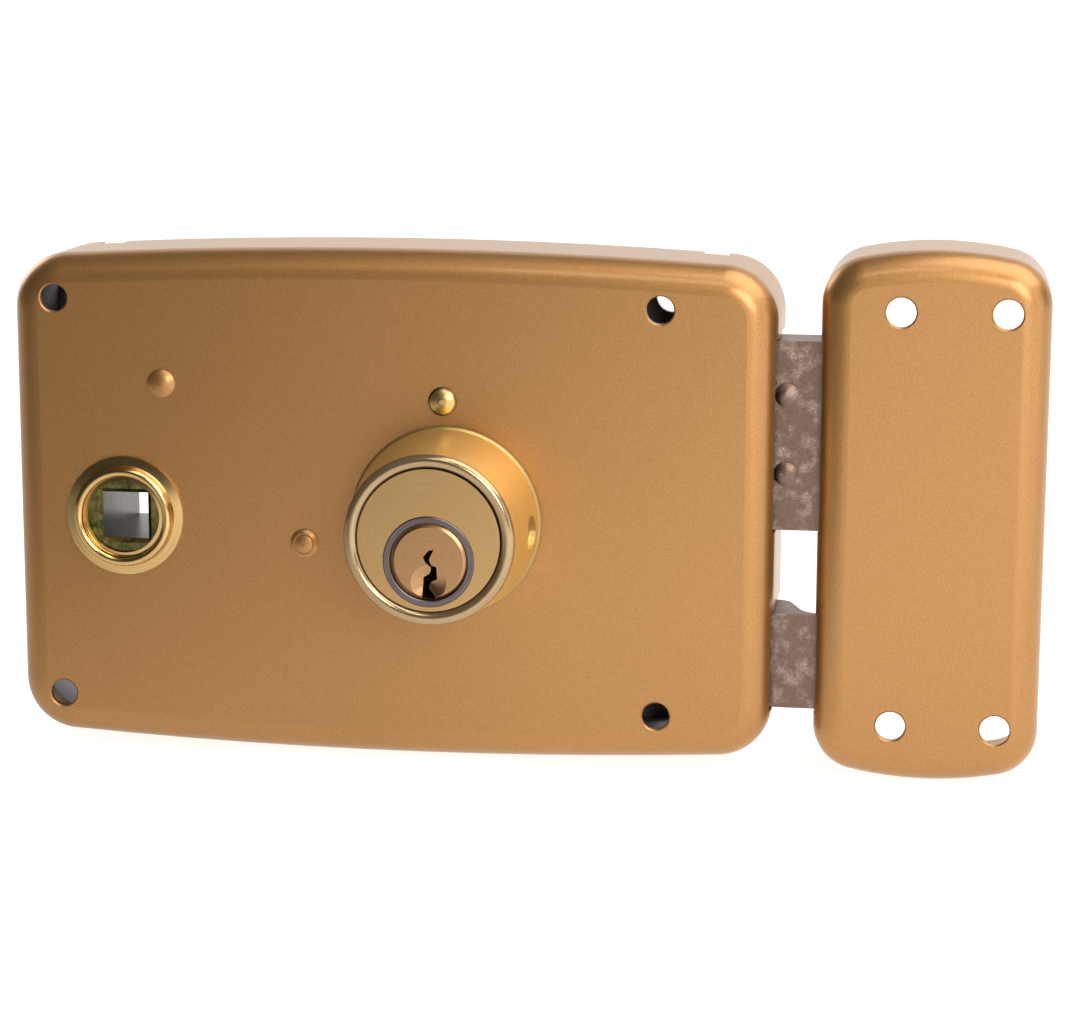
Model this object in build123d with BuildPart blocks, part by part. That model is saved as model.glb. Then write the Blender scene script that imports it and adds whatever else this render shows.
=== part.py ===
from build123d import *
import math
import os

# A rim box lock with its box strike, in millimetres.
# X runs from the follower towards the strike and Z is up. The door's face is the plane
# Y = 0 and the room is on its -Y side, so a height above the door is a distance along -Y.
# The origin is the centre of the case's four screw holes, on the door's face.

# Case: a pressed steel box, open towards the door
case_screws_x = 105.0
case_screws_z = 70.0
case_screw_hole_radius = 2.35
case_margin_left = 7.9
case_margin_right = 19.6
case_margin_crown = 9.2
case_bow = 2.35
case_depth = 22.8
case_sheet = 1.2
case_corner_radius = 9.5
case_edge_radius = 5.0
hole_lip_chamfer = 0.25
bolt_window_setback = 3.2
bolt_window_gap = 0.35
notch_width = 4.5
notch_depth = 3.5
notch_left_x = -47.6
notch_right_x = 60.1

# Base plate: a tray inside the case's walls
plate_thickness = 1.5
plate_sheet = 1.2
plate_gap = 0.15
plate_flange_height = 14.0
plate_flange_height_at_bolts = 6.0
plate_low_flange_length = 14.0
plate_screw_hole_radius = 2.8
outer_cylinder_hole_radius = 7.0

# Posts riveted to the case, and the screws that hold the base plate on them
spring_post_x = -33.6
spring_post_z = 20.6
guide_post_x = 15.6
guide_post_z = 18.7
lever_post_x = -8.7
lever_post_z = -6.65
post_radius = 2.5
post_neck_radius = 1.6
post_neck_gap = 0.05
post_head_radius = 2.45
post_head_rim = 0.3
post_head_dome = 0.75
head_ring_radius = 1.55
head_ring_width = 0.3
head_ring_depth = 0.2
head_nib_radius = 0.4
head_nib_height = 0.2
post_bore_radius = 1.55
post_bore_depth = 8.0
plate_screw_radius = 1.5
plate_screw_length = 7.5
plate_screw_head_radius = 3.0
plate_screw_gap = 0.1
driver_slot_width = 0.8
driver_slot_depth = 0.6

# Cylinder, with its plug below the middle
cylinder_x = 16.2
cylinder_z = -2.0
cylinder_radius = 12.0
cylinder_tail = 2.2
cylinder_hole_gap = 0.1
cylinder_clip_radius = 15.0
cylinder_clip_thickness = 1.2
cylinder_groove_depth = 1.0
clip_gap = 0.05
collar_gap = 0.1
collar_front_wall = 2.35
collar_taper = 2.05
collar_lip_height = 0.9
collar_lip_step = 0.35
collar_bead_height = 1.0
spanner_hole_radius = 2.4
spanner_hole_height = 5.7
spanner_hole_depth = 1.6
spanner_hole_tilt = -3.5

# Plug and what turns with it
plug_drop = 3.6
plug_radius = 6.5
plug_gap = 0.05
plug_recess = 0.1
plug_bevel_width = 0.7
plug_bevel_rise = 0.3
ring_radius = 7.65
ring_plug_gap = 0.08
ring_seat_gap = 0.05
ring_thickness = 1.9
ring_stand_out = 0.3
ring_rounding = 0.15
plug_clip_radius = 8.3
plug_clip_thickness = 0.8
plug_clip_gap = 0.1
plug_groove_depth = 0.8
plug_end_step = 0.3
shoulder_radius = 4.5
spigot_radius = 3.0
spigot_flat = 2.4
spigot_end = 0.8
tail_slot_width = 1.8
tail_slot_depth = 2.4
cam_clip_thickness = 0.8
cam_clip_radius = 4.4
cam_clip_groove_radius = 2.0
key_dish_radius = 3.0
key_dish_depth = 0.9
key_dish_drop = 3.6
keyway_back_wall = 0.6

# Outline of the keyway, as shares of the plug's radius, from the plug's axis
keyway_shares = [
    (0.14, 0.32), (0.00, 0.29), (-0.14, 0.12), (-0.09, -0.01), (0.055, -0.14), (0.055, -0.23),
    (0.00, -0.33), (-0.145, -0.42), (-0.18, -1.05), (0.165, -1.05), (0.165, -0.90), (0.00, -0.71),
    (0.02, -0.57), (0.215, -0.46), (0.205, -0.13), (0.07, -0.09), (0.015, 0.06), (0.09, 0.22),
]

# Pins in the cylinder
pin_count = 5
pin_pitch = 3.2
pin_radius = 1.25
pin_gap = 0.05
first_pin_setback = 3.0
pin_row_clearance = 0.1
pin_split_gap = 0.05
key_pin_bottoms = [1.7, 2.5, 2.1, 3.0, 1.5]
driver_pin_length = 3.6
pin_cap_height = 1.0
pin_tip_chamfer = 0.35
pin_spring_wall = 0.35
pin_chamber_floor = 0.4

# Pinion on the plug's tail and rack on the deadbolt
pinion_teeth = 10
tooth_module = 1.0
pressure_angle = 25.0
addendum_share = 0.8
dedendum_share = 1.05
backlash = 0.24
pinion_over_plate = 0.3
flank_points = 7

# Deadbolt: three riveted plates
deadbolt_bottom = -2.7
deadbolt_top = 29.7
deadbolt_front_setback = 5.2
deadbolt_plate = 3.0
deadbolt_throw = 23.0
deadbolt_home_reach = 0.2
deadbolt_head_length = 43.3
deadbolt_tail_top = 24.0
deadbolt_tail_margin = 5.5
deadbolt_tip_chamfer = 0.5
guide_slot_gap = 0.15
bolt_rivet_setback = 21.65
bolt_rivet_upper_z = 20.5
bolt_rivet_lower_z = 7.0
bolt_rivet_inset = 6.15
bolt_rivet_radius = 1.5
bolt_rivet_head_radius = 2.05
bolt_rivet_rim = 0.2
bolt_rivet_dome = 0.55

# Spring latch: a bevelled head riveted to a flat tail
latch_bottom = -33.8
latch_top = -17.3
latch_back_setback = 16.5
latch_throw = 12.0
latch_home_reach = 0.1
latch_ramp_start = 1.9
latch_ramp_end = 5.3
latch_lip = 1.2
latch_tip = 0.9
latch_shoulder_radius = 3.0
latch_heel_radius = 5.0
latch_full_height_reach = 3.1
latch_shank_length = 19.0
latch_shank_rise = 2.3
latch_rivet_radius = 1.25
latch_rivet_inset = 5.0
latch_rivet_spread = 4.5
tail_thickness = 2.5
tail_below_core = 2.8
tail_top = -18.8
tail_bottom = -28.5
tail_end_margin = 5.0
tail_tenon = 8.0
rod_radius = 1.25
rod_z = -24.4
rod_over_tail = 3.1
rod_tenon = 3.0
rod_overhang = 4.0
rod_gap = 0.1
latch_spring_radius = 2.6
latch_spring_wall = 0.8

# Bracket that guides the latch's tail and its spring's rod
guide_x = 22.0
guide_sheet = 1.5
guide_gap = 0.3
guide_top_margin = 1.4
guide_side_margin = 3.5
guide_foot = 9.5

# Follower with the square hole, and its rosette
follower_x = -40.5
follower_z = -2.7
spindle_side = 8.1
spindle_lead_side = 9.5
spindle_lead_depth = 0.8
follower_radius = 8.0
journal_radius = 6.9
journal_gap = 0.1
follower_end_gap = 0.3
follower_face_stand_out = 0.5
follower_arm = 18.0
follower_tip_radius = 2.2
follower_shank = 3.0
rosette_radius = 10.4
rosette_wall = 0.45
rosette_seat_gap = 0.05
rosette_rim = 0.5
rosette_dish_radius = 8.9
rosette_dish_height = 0.75
rosette_bead_outer = 8.6
rosette_bead_inner = 7.2
rosette_bead_height = 2.4
rosette_bead_foot = 1.2
rosette_mouth_radius = 6.4
rosette_lip_bottom = 0.8
rosette_lip_top = 1.3

# Latch lever: a bell crank between the cam and the tail
lever_arm = 15.0
lever_tip_radius = 2.0
lever_shank = 2.5
lever_boss_radius = 4.4
lever_bore_gap = 0.06
lever_finger_length = 15.3
lever_finger_width = 3.0
lever_finger_tilt = 3.0
arm_notch_gap = 0.25
arm_notch_floor = 0.5

# Cam on the plug's tail that reaches the lever at the end of the key's turn
cam_hub_radius = 4.8
cam_reach = 11.0
cam_finger_width = 4.0
cam_finger_angle = 238.0
cam_corner_radius = 1.0

# Hairpin spring round the spring post, which keeps the handle level
hairpin_wire_radius = 0.5
hairpin_gap = 0.35
hairpin_coil_height = 5.0
hairpin_leg = 14.0
hairpin_leg_angle = 248.0
hairpin_anchor_leg = 20.2
hairpin_anchor_angle = 108.0

# Strike: a pressed box, open towards the frame
strike_screws_x = 17.5
strike_screws_z = 70.5
strike_screw_hole_radius = 2.5
strike_gap = 7.15
strike_margin_left = 13.25
strike_margin_right = 7.25
strike_margin_crown = 10.05
strike_bow = 3.0
strike_corner_radius = 8.0
strike_centre_z = 0.2

overrun = 1.0

# Places that follow from the sizes above
case_left = -case_screws_x / 2 - case_margin_left
case_right = case_screws_x / 2 + case_margin_right
case_crown = case_screws_z / 2 + case_margin_crown
case_inside = case_depth - case_sheet
pin_row = (pin_count - 1) * pin_pitch
last_pin_height = case_depth + pin_radius + pin_gap + pin_row_clearance
cylinder_face = last_pin_height + pin_row + first_pin_setback
cylinder_end = case_inside - cylinder_tail
collar_bore = cylinder_radius + collar_gap
collar_front_radius = collar_bore + collar_front_wall
collar_base_radius = collar_front_radius + collar_taper
plug_x = cylinder_x
plug_z = cylinder_z - plug_drop
plug_face = cylinder_face - plug_recess
plug_clip_top = cylinder_end - plug_clip_gap
plug_clip_bottom = plug_clip_top - plug_clip_thickness
plug_end = plug_clip_bottom - plug_end_step
core_top = case_depth - deadbolt_front_setback - deadbolt_plate
core_bottom = core_top - deadbolt_plate
deadbolt_back = core_bottom - deadbolt_plate
tail_bottom_height = core_bottom - tail_below_core
tail_top_height = tail_bottom_height + tail_thickness
rod_height = tail_top_height + rod_over_tail
pinion_top = core_top + pinion_over_plate
cam_clip_bottom = tail_bottom_height - cam_clip_thickness
spigot_bottom = cam_clip_bottom - spigot_end
pitch_radius = pinion_teeth * tooth_module / 2
tooth_pitch = math.pi * tooth_module
addendum = addendum_share * tooth_module
dedendum = dedendum_share * tooth_module
pitch_line = plug_z + pitch_radius
deadbolt_tip = case_right + deadbolt_home_reach + deadbolt_throw
deadbolt_head = deadbolt_tip - deadbolt_head_length
guide_slot_half = post_radius + guide_slot_gap
latch_tip_x = case_right + latch_home_reach + latch_throw
latch_front = case_depth - deadbolt_front_setback
latch_back = case_depth - latch_back_setback
latch_full_height_left = case_right - latch_full_height_reach
latch_shank_left = latch_full_height_left - latch_shank_length
latch_shank_bottom = latch_bottom + latch_shank_rise
follower_tip_x = follower_x + latch_throw / 2
follower_swing = math.degrees(math.asin(latch_throw / 2 / follower_arm))
lever_tip_x = lever_post_x + latch_throw / 2
lever_swing = math.degrees(math.asin(latch_throw / 2 / lever_arm))
strike_left = case_right + strike_gap
strike_holes_x = strike_left + strike_margin_left + strike_screws_x / 2
strike_right = strike_left + strike_margin_left + strike_screws_x + strike_margin_right
strike_crown = strike_screws_z / 2 + strike_margin_crown
pin_heights = [cylinder_face - first_pin_setback - i * pin_pitch for i in range(pin_count)]

posts = {
    "spring_post": (spring_post_x, spring_post_z, "plain"),
    "guide_post": (guide_post_x, guide_post_z, "nib"),
    "lever_post": (lever_post_x, lever_post_z, "ring"),
}
post_places = [(x, z) for x, z, head in posts.values()]

os.makedirs("parts", exist_ok=True)


def level(height):
    # the plane parallel to the door at this height, seen from the room
    return Plane.XZ.offset(height)


def turning_plane(x, z):
    # a plane through a turning axis: its x is the radius, its y the height above the door
    return Plane(origin=(x, 0, z), x_dir=(1, 0, 0), z_dir=(0, 0, -1))


def turning_axis(x, z):
    return Axis((x, 0, z), (0, 1, 0))


def save(piece, name):
    piece.part.label = name
    export_step(piece.part, f"parts/{name}.step")


def bowed_outline(left, right, crown, bow, corner, inset):
    # straight sides, top and bottom edges that bow out, and round corners
    middle = (left + right) / 2
    shoulder = crown - bow
    with BuildSketch() as outline:
        with BuildLine():
            ThreePointArc((left, shoulder), (middle, crown), (right, shoulder))
            Line((right, shoulder), (right, -shoulder))
            ThreePointArc((right, -shoulder), (middle, -crown), (left, -shoulder))
            Line((left, -shoulder), (left, shoulder))
        make_face()
        fillet(outline.vertices(), corner)
        if inset > 0:
            offset(amount=-inset, mode=Mode.REPLACE)
    return outline.sketch


def rounded_block(outline, centre_z, depth, edge):
    # the outline raised from the door's face, with the room-side edge rounded
    with BuildPart() as block:
        with BuildSketch(level(0)):
            with Locations((0, centre_z)):
                add(outline)
        extrude(amount=depth)
        if edge > 0:
            fillet(block.faces().sort_by(Axis.Y)[0].edges(), edge)
    return block


def turned(x, z, points):
    # a piece turned about an axis square to the door, from (radius, height) points
    with BuildPart() as piece:
        with BuildSketch(turning_plane(x, z)):
            with BuildLine():
                Polyline(*points, close=True)
            make_face()
        revolve(axis=turning_axis(x, z))
    return piece


def double_flat(radius, flat, gap):
    # the section of the plug's spigot, or with a gap the bore that fits it
    with BuildSketch() as section:
        Circle(radius + gap)
        Rectangle(2 * (flat + gap), 2 * (radius + overrun), mode=Mode.INTERSECT)
    return section.sketch


def polar(radius, angle):
    turn = math.radians(angle)
    return (radius * math.cos(turn), radius * math.sin(turn))


def make_case_cover():
    outer = bowed_outline(case_left, case_right, case_crown, case_bow, case_corner_radius, 0)
    inner = bowed_outline(
        case_left, case_right, case_crown, case_bow, case_corner_radius, case_sheet
    )
    cavity = rounded_block(inner, 0, case_inside, case_edge_radius - case_sheet)
    with BuildPart() as cover:
        add(rounded_block(outer, 0, case_depth, case_edge_radius).part)
        add(cavity.part, mode=Mode.SUBTRACT)
        with BuildSketch(level(case_depth)):
            with GridLocations(case_screws_x, case_screws_z, 2, 2):
                Circle(case_screw_hole_radius)
        extrude(amount=-2 * case_sheet, mode=Mode.SUBTRACT)
        screw_rims = cover.edges().filter_by(GeomType.CIRCLE).group_by(Axis.Y)[0]
        chamfer(screw_rims, hole_lip_chamfer)
        with BuildSketch(level(case_depth)):
            with Locations((cylinder_x, cylinder_z)):
                Circle(cylinder_radius + cylinder_hole_gap)
            with Locations((follower_x, follower_z)):
                Circle(journal_radius + journal_gap + rosette_wall + rosette_seat_gap)
            with Locations(*post_places):
                Circle(post_neck_radius + post_neck_gap)
        extrude(amount=-2 * case_sheet, mode=Mode.SUBTRACT)
        with BuildSketch(level(0)):
            for bottom, top in [(deadbolt_bottom, deadbolt_top), (latch_bottom, latch_top)]:
                with Locations((case_right, (bottom + top) / 2)):
                    Rectangle(
                        2 * (case_sheet + overrun), top - bottom + 2 * bolt_window_gap
                    )
        extrude(amount=case_depth - bolt_window_setback, mode=Mode.SUBTRACT)
        with BuildSketch(level(0)):
            with Locations((notch_left_x, 0), (notch_right_x, 0)):
                Rectangle(notch_width, 2 * (case_crown + overrun))
        extrude(amount=notch_depth, mode=Mode.SUBTRACT)
    save(cover, "case_cover")


def make_base_plate():
    tray = []
    for inset in (case_sheet + plate_gap, case_sheet + plate_gap + plate_sheet):
        tray.append(
            bowed_outline(case_left, case_right, case_crown, case_bow, case_corner_radius, inset)
        )
    with BuildPart() as plate:
        with BuildSketch(level(0)):
            add(tray[0])
        extrude(amount=plate_flange_height)
        with BuildSketch(level(plate_thickness)):
            add(tray[1])
        extrude(amount=plate_flange_height, mode=Mode.SUBTRACT)
        with BuildSketch(level(plate_flange_height_at_bolts)):
            with Locations((case_right, 0)):
                Rectangle(2 * plate_low_flange_length, 2 * case_crown)
        extrude(amount=plate_flange_height, mode=Mode.SUBTRACT)
        with BuildSketch(level(plate_thickness)):
            with Locations((notch_left_x, 0), (notch_right_x, 0)):
                Rectangle(notch_width + 2 * plate_gap, 2 * case_crown)
        extrude(amount=plate_flange_height, mode=Mode.SUBTRACT)
        with BuildSketch(level(0)):
            with GridLocations(case_screws_x, case_screws_z, 2, 2):
                Circle(plate_screw_hole_radius)
            with Locations((follower_x, follower_z)):
                Circle(journal_radius + journal_gap)
            with Locations((plug_x, plug_z)):
                Circle(outer_cylinder_hole_radius)
        extrude(amount=plate_thickness, mode=Mode.SUBTRACT)
    with BuildPart() as drilled:
        add(plate.part)
        for x, z in post_places:
            cone = turned(x, z, countersink_points(plate_screw_gap, plate_thickness + overrun))
            add(cone.part, mode=Mode.SUBTRACT)
    save(drilled, "base_plate")


def countersink_points(gap, length):
    # half section of a countersunk screw, or with a gap of the hole that takes it
    return [
        (0, 0),
        (plate_screw_head_radius + gap, 0),
        (plate_screw_radius + gap, plate_thickness),
        (plate_screw_radius + gap, length),
        (0, length),
    ]


def make_plate_screws():
    with BuildPart() as screws:
        for x, z in post_places:
            screw = turned(x, z, countersink_points(0, plate_screw_length))
            add(screw.part)
        with BuildSketch(level(0)):
            with Locations(*post_places):
                Rectangle(2 * plate_screw_head_radius, driver_slot_width)
        extrude(amount=driver_slot_depth, mode=Mode.SUBTRACT)
    save(screws, "base_plate_screws")


def make_post(name, x, z, head):
    crown = case_depth + post_head_rim + post_head_dome
    with BuildPart() as post:
        with BuildSketch(turning_plane(x, z)):
            with BuildLine():
                Polyline(
                    (0, crown),
                    (0, plate_thickness + post_bore_depth),
                    (post_bore_radius, plate_thickness + post_bore_depth),
                    (post_bore_radius, plate_thickness),
                    (post_radius, plate_thickness),
                    (post_radius, case_inside),
                    (post_neck_radius, case_inside),
                    (post_neck_radius, case_depth),
                    (post_head_radius, case_depth),
                    (post_head_radius, case_depth + post_head_rim),
                )
                dome = (post_head_radius**2 + post_head_dome**2) / (2 * post_head_dome)
                RadiusArc(
                    (post_head_radius, case_depth + post_head_rim), (0, crown), -dome
                )
            make_face()
        revolve(axis=turning_axis(x, z))
        if head == "nib":
            with BuildSketch(level(case_depth + post_head_rim)):
                with Locations((x, z)):
                    Circle(head_nib_radius)
            extrude(amount=post_head_dome + head_nib_height)
        if head == "ring":
            with BuildSketch(level(crown - post_head_dome / 2 - head_ring_depth)):
                with Locations((x, z)):
                    Circle(head_ring_radius + head_ring_width)
                    Circle(head_ring_radius, mode=Mode.SUBTRACT)
            extrude(amount=post_head_dome, mode=Mode.SUBTRACT)
    save(post, name)


def make_cylinder_body():
    groove_bottom = case_inside - cylinder_clip_thickness
    groove_radius = cylinder_radius - cylinder_groove_depth
    ring_seat = cylinder_face - ring_thickness + ring_stand_out
    body_points = [
        (0, cylinder_end),
        (cylinder_radius, cylinder_end),
        (cylinder_radius, groove_bottom),
        (groove_radius, groove_bottom),
        (groove_radius, case_inside),
        (cylinder_radius, case_inside),
        (cylinder_radius, cylinder_face),
        (0, cylinder_face),
    ]
    with BuildPart() as body:
        add(turned(cylinder_x, cylinder_z, body_points).part)
        with BuildSketch(level(cylinder_end)):
            with Locations((plug_x, plug_z)):
                Circle(plug_radius + plug_gap)
        extrude(amount=cylinder_face - cylinder_end, mode=Mode.SUBTRACT)
        with BuildSketch(level(ring_seat)):
            with Locations((plug_x, plug_z)):
                Circle(ring_radius + ring_seat_gap)
        extrude(amount=ring_thickness, mode=Mode.SUBTRACT)
        with BuildSketch(Plane.XY.offset(plug_z)):
            with Locations(*[(plug_x, -height) for height in pin_heights]):
                Circle(pin_radius + pin_gap)
        extrude(amount=plug_drop + cylinder_radius + overrun, mode=Mode.SUBTRACT)
    save(body, "cylinder_body")


def make_cylinder_collar():
    bead_foot = cylinder_face + ring_stand_out - collar_bead_height
    lip_top = case_depth + collar_lip_height
    with BuildPart() as collar:
        with BuildSketch(turning_plane(cylinder_x, cylinder_z)):
            with BuildLine():
                Polyline(
                    (collar_bore, bead_foot),
                    (collar_bore, case_depth),
                    (collar_base_radius, case_depth),
                    (collar_base_radius, lip_top),
                    (collar_base_radius - collar_lip_step, lip_top + collar_lip_step),
                    (collar_front_radius, bead_foot),
                )
                ThreePointArc(
                    (collar_front_radius, bead_foot),
                    ((collar_front_radius + collar_bore) / 2, bead_foot + collar_bead_height),
                    (collar_bore, bead_foot),
                )
            make_face()
        revolve(axis=turning_axis(cylinder_x, cylinder_z))
        tilt = math.radians(spanner_hole_tilt)
        outward = (math.cos(tilt), 0, math.sin(tilt))
        hole_floor = Plane(
            origin=(
                cylinder_x + (collar_base_radius - spanner_hole_depth) * math.cos(tilt),
                -(case_depth + spanner_hole_height),
                cylinder_z + (collar_base_radius - spanner_hole_depth) * math.sin(tilt),
            ),
            x_dir=(0, 1, 0),
            z_dir=outward,
        )
        with BuildSketch(hole_floor):
            Circle(spanner_hole_radius)
        extrude(amount=spanner_hole_depth + overrun, mode=Mode.SUBTRACT)
    save(collar, "cylinder_collar")


def make_cylinder_clip():
    groove_radius = cylinder_radius - cylinder_groove_depth + clip_gap
    with BuildPart() as clip:
        with BuildSketch(level(case_inside - cylinder_clip_thickness)):
            with Locations((cylinder_x, cylinder_z)):
                Circle(cylinder_clip_radius)
                Circle(groove_radius, mode=Mode.SUBTRACT)
            with Locations((cylinder_x, cylinder_z - cylinder_clip_radius / 2)):
                Rectangle(2 * groove_radius, cylinder_clip_radius, mode=Mode.SUBTRACT)
        extrude(amount=cylinder_clip_thickness)
    save(clip, "cylinder_clip")


def make_plug_ring():
    bottom = cylinder_face - ring_thickness + ring_stand_out
    top = cylinder_face + ring_stand_out
    inner = plug_radius + ring_plug_gap
    points = [
        (inner, bottom),
        (ring_radius, bottom),
        (ring_radius, top - ring_rounding),
        (ring_radius - ring_rounding, top),
        (inner + ring_rounding, top),
        (inner, top - ring_rounding),
    ]
    save(turned(plug_x, plug_z, points), "plug_ring")


def keyway_outline():
    with BuildSketch() as outline:
        with BuildLine():
            Polyline(*[(x * plug_radius, z * plug_radius) for x, z in keyway_shares], close=True)
        make_face()
    return outline.sketch


def make_plug():
    groove_radius = plug_radius - plug_groove_depth
    barrel_points = [
        (0, pinion_top),
        (shoulder_radius, pinion_top),
        (shoulder_radius, plug_end),
        (plug_radius, plug_end),
        (plug_radius, plug_clip_bottom),
        (groove_radius, plug_clip_bottom),
        (groove_radius, plug_clip_top),
        (plug_radius, plug_clip_top),
        (plug_radius, plug_face - plug_bevel_rise),
        (plug_radius - plug_bevel_width, plug_face),
        (0, plug_face),
    ]
    dish_points = [
        (0, plug_face - key_dish_depth),
        (key_dish_radius, plug_face),
        (key_dish_radius, plug_face + overrun),
        (0, plug_face + overrun),
    ]
    clip_groove_points = [
        (cam_clip_groove_radius, cam_clip_bottom),
        (spigot_radius + overrun, cam_clip_bottom),
        (spigot_radius + overrun, tail_bottom_height),
        (cam_clip_groove_radius, tail_bottom_height),
    ]
    keyway_floor = cylinder_end + keyway_back_wall
    with BuildPart() as plug:
        add(turned(plug_x, plug_z, barrel_points).part)
        with BuildSketch(level(spigot_bottom)):
            with Locations((plug_x, plug_z)):
                add(double_flat(spigot_radius, spigot_flat, 0))
        extrude(amount=pinion_top - spigot_bottom)
        add(turned(plug_x, plug_z, clip_groove_points).part, mode=Mode.SUBTRACT)
        with BuildSketch(level(spigot_bottom)):
            with Locations((plug_x, plug_z)):
                Rectangle(tail_slot_width, 2 * (spigot_radius + overrun))
        extrude(amount=tail_slot_depth, mode=Mode.SUBTRACT)
        add(turned(plug_x, plug_z - key_dish_drop, dish_points).part, mode=Mode.SUBTRACT)
        with BuildSketch(level(keyway_floor)):
            with Locations((plug_x, plug_z)):
                add(keyway_outline())
        extrude(amount=cylinder_face - keyway_floor, mode=Mode.SUBTRACT)
        with BuildSketch(Plane.XY.offset(plug_z + pin_chamber_floor)):
            with Locations(*[(plug_x, -height) for height in pin_heights]):
                Circle(pin_radius + pin_gap)
        extrude(amount=plug_radius + overrun, mode=Mode.SUBTRACT)
    save(plug, "plug")


def make_plug_clip():
    groove_radius = plug_radius - plug_groove_depth + clip_gap
    with BuildPart() as clip:
        with BuildSketch(level(plug_clip_bottom)):
            with Locations((plug_x, plug_z)):
                Circle(plug_clip_radius)
                Circle(groove_radius, mode=Mode.SUBTRACT)
            with Locations((plug_x, plug_z + plug_clip_radius)):
                Rectangle(groove_radius, plug_clip_radius, mode=Mode.SUBTRACT)
        extrude(amount=plug_clip_thickness)
    save(clip, "plug_clip")


def make_pins():
    # every pin stands at the shear line, as when the right key is in
    shear = plug_z + plug_radius
    ceiling = cylinder_z + math.sqrt(cylinder_radius**2 - (pin_radius + pin_gap) ** 2)
    driver_top = shear + pin_split_gap + driver_pin_length
    with BuildPart() as key_pins:
        for height, bottom in zip(pin_heights, key_pin_bottoms):
            with BuildSketch(Plane.XY.offset(plug_z + bottom)):
                with Locations((plug_x, -height)):
                    Circle(pin_radius)
            extrude(amount=shear - pin_split_gap * 2 - (plug_z + bottom) - pin_tip_chamfer)
        chamfer(key_pins.edges().filter_by(GeomType.CIRCLE), pin_tip_chamfer)
    save(key_pins, "key_pins")
    levels = {
        "driver_pins": (shear + pin_split_gap * 2, driver_top, 0),
        "pin_springs": (driver_top, ceiling - pin_cap_height, pin_radius - pin_spring_wall),
        "pin_caps": (ceiling - pin_cap_height, ceiling, 0),
    }
    for name, (bottom, top, bore) in levels.items():
        with BuildPart() as pieces:
            with BuildSketch(Plane.XY.offset(bottom)):
                with Locations(*[(plug_x, -height) for height in pin_heights]):
                    Circle(pin_radius)
                    if bore > 0:
                        Circle(bore, mode=Mode.SUBTRACT)
            extrude(amount=top - bottom)
        save(pieces, name)


def pinion_tooth():
    # an involute tooth along the local x axis, standing on a small root block
    base_radius = pitch_radius * math.cos(math.radians(pressure_angle))
    tip_radius = pitch_radius + addendum
    root_radius = pitch_radius - dedendum
    half_at_pitch = (tooth_pitch - backlash) / 4 / pitch_radius

    def involute(radius):
        slope = math.acos(min(1, base_radius / radius))
        return math.tan(slope) - slope

    flank = []
    for i in range(flank_points):
        radius = base_radius + (tip_radius - base_radius) * i / (flank_points - 1)
        half = half_at_pitch + involute(pitch_radius) - involute(radius)
        flank.append((radius * math.cos(half), radius * math.sin(half)))
    foot = (root_radius * math.cos(half_at_pitch), flank[0][1])
    mirrored = [(x, -y) for x, y in flank]
    with BuildSketch() as tooth:
        with BuildLine():
            Spline(*flank)
            Line(flank[-1], mirrored[-1])
            Spline(*reversed(mirrored))
            Line(mirrored[0], (foot[0], -foot[1]))
            Line((foot[0], -foot[1]), (0, 0))
            Line((0, 0), foot)
            Line(foot, flank[0])
        make_face()
    return tooth.sketch


def make_drive_pinion():
    tooth = pinion_tooth()
    with BuildPart() as pinion:
        with BuildSketch(level(tail_top_height)):
            with Locations((plug_x, plug_z)):
                Circle(pitch_radius - dedendum)
                with PolarLocations(0, pinion_teeth, start_angle=90):
                    add(tooth)
                add(double_flat(spigot_radius, spigot_flat, plug_gap), mode=Mode.SUBTRACT)
        extrude(amount=pinion_top - tail_top_height)
    save(pinion, "drive_pinion")


def make_latch_cam():
    with BuildPart() as cam:
        with BuildSketch(level(tail_bottom_height)) as outline:
            with Locations((plug_x, plug_z)):
                Circle(cam_hub_radius)
            with Locations(Location((plug_x, plug_z), cam_finger_angle)):
                Rectangle(cam_reach, cam_finger_width, align=(Align.MIN, Align.CENTER))
            far_corners = outline.vertices().sort_by_distance((plug_x, plug_z))[-2:]
            fillet(far_corners, cam_corner_radius)
            with Locations((plug_x, plug_z)):
                add(double_flat(spigot_radius, spigot_flat, plug_gap), mode=Mode.SUBTRACT)
        extrude(amount=tail_thickness)
    save(cam, "latch_cam")


def make_cam_clip():
    with BuildPart() as clip:
        with BuildSketch(level(cam_clip_bottom)):
            with Locations((plug_x, plug_z)):
                Circle(cam_clip_radius)
                Circle(cam_clip_groove_radius, mode=Mode.SUBTRACT)
            with Locations((plug_x, plug_z + cam_clip_radius / 2)):
                Rectangle(2 * cam_clip_groove_radius, cam_clip_radius, mode=Mode.SUBTRACT)
        extrude(amount=cam_clip_thickness)
    save(clip, "cam_clip")


def rivet_places():
    return [
        (x, z)
        for x in (deadbolt_tip - bolt_rivet_setback, deadbolt_head + bolt_rivet_inset)
        for z in (bolt_rivet_upper_z, bolt_rivet_lower_z)
    ]


def make_deadbolt_plates():
    centre = ((deadbolt_head + deadbolt_tip) / 2, (deadbolt_bottom + deadbolt_top) / 2)
    for name, bottom in [("deadbolt_front_plate", core_top), ("deadbolt_back_plate", deadbolt_back)]:
        with BuildPart() as plate:
            with BuildSketch(level(bottom)) as face:
                with Locations(centre):
                    Rectangle(deadbolt_head_length, deadbolt_top - deadbolt_bottom)
                chamfer(face.vertices().group_by(Axis.X)[-1], deadbolt_tip_chamfer)
                with Locations(*rivet_places()):
                    Circle(bolt_rivet_radius, mode=Mode.SUBTRACT)
            extrude(amount=deadbolt_plate)
        save(plate, name)


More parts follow.
